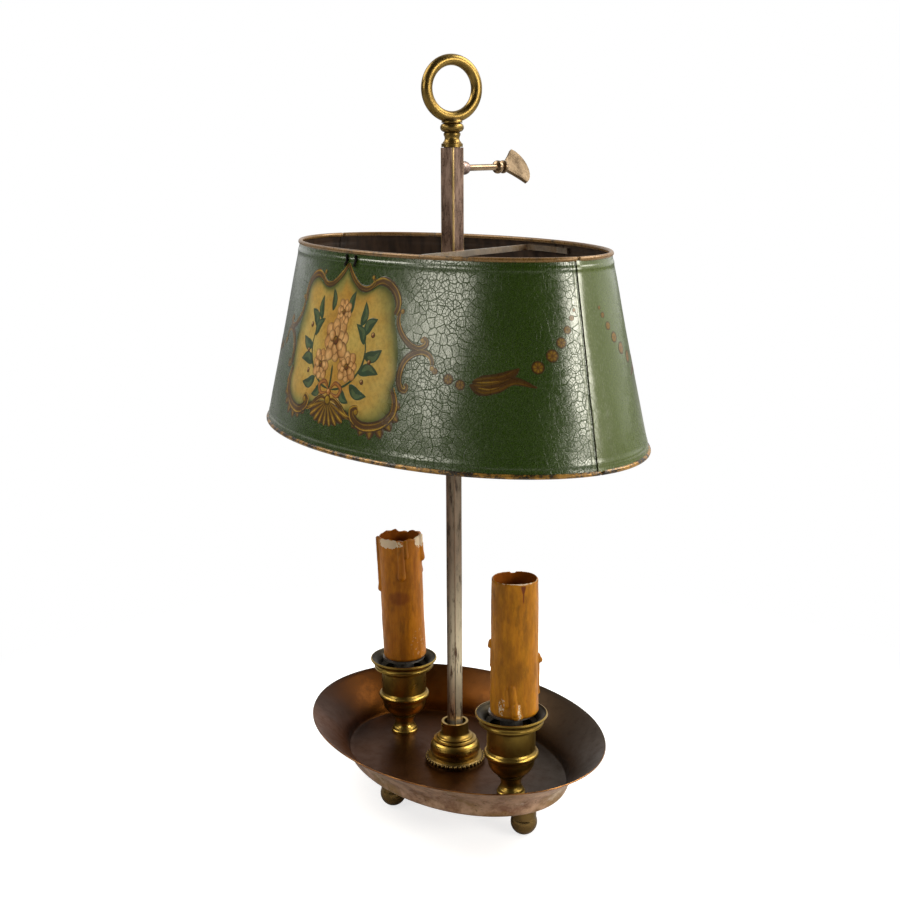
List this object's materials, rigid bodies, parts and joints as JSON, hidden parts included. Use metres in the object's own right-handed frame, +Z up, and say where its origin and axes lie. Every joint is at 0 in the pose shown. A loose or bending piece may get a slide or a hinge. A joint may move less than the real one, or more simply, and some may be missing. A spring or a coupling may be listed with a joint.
{
  "type": "bouillotte lamp",
  "caption": "Table lamp with an oval painted metal shade that slides on a square stem with a carrying ring, over electric candles in turned cups on an oval footed tray.",
  "frame": {"origin": "on the table under the stem's axis, at the level of the feet's lowest points", "axes": "+Z up along the stem, +X along the tray's and shade's long axis towards the right-hand candle, -Y the front"},
  "size_m": [0.302, 0.1948, 0.4701],
  "materials": {
    "tray_sheet": "thin sheet, dark coppery brown inside and worn grey outside",
    "aged_brass": "turned brass with a dark patina in the hollows and rubbed edges",
    "worn_steel": "square drawn bar with worn brown and grey skin and brighter edges",
    "fixing_steel": "dull steel",
    "holder_brass": "dull brass",
    "candle_tube": "waxed card with streaks and drips",
    "holder_body": "moulded dark brown",
    "carrier_metal": "filed pale brass",
    "tie_wire": "black iron wire",
    "shade_paint": "crackled green paint outside, dark brown inside",
    "shade_rim": "worn gold paint"
  },
  "bodies": {
    "base": {"tray": "tray_sheet", "foot_front": "aged_brass", "foot_back": "aged_brass", "foot_left": "aged_brass", "foot_right": "aged_brass", "stem_bell": "aged_brass", "stem_beading": "aged_brass", "stem_rod": "worn_steel", "stem_washer": "fixing_steel", "stem_nut": "fixing_steel", "finial_neck": "aged_brass", "carrying_ring": "aged_brass", "cup_left": "aged_brass", "cup_right": "aged_brass", "holder_stem_left": "holder_brass", "holder_stem_right": "holder_brass", "holder_washers": "fixing_steel", "holder_nuts": "fixing_steel", "tube_seat_left": "fixing_steel", "tube_seat_right": "fixing_steel", "candle_tube_left": "candle_tube", "candle_tube_right": "candle_tube", "lampholder_left": "holder_body", "lampholder_right": "holder_body", "screw_shell_left": "holder_brass", "screw_shell_right": "holder_brass", "contact_left": "holder_brass", "contact_right": "holder_brass"},
    "shade_carriage": {"sleeve": "worn_steel", "screw_boss": "aged_brass", "carrier_strip": "carrier_metal", "carrier_ties": "tie_wire", "shade_front": "shade_paint", "shade_back": "shade_paint", "shade_top_roll": "shade_rim", "shade_bottom_roll": "shade_rim"},
    "thumbscrew": {"screw_spindle": "aged_brass", "screw_wing": "aged_brass"}
  },
  "joints": [
    {"name": "shade_height", "type": "slide", "parent": "base", "child": "shade_carriage", "axis": [0, 0, 1], "range_m": [-0.225, 0]},
    {"name": "clamp_screw", "type": "hinge", "parent": "shade_carriage", "child": "thumbscrew", "pos_m": [0, 0, 0.4037], "axis": [-0.23, 0.9732, 0], "range_deg": [0, 720]}
  ]
}
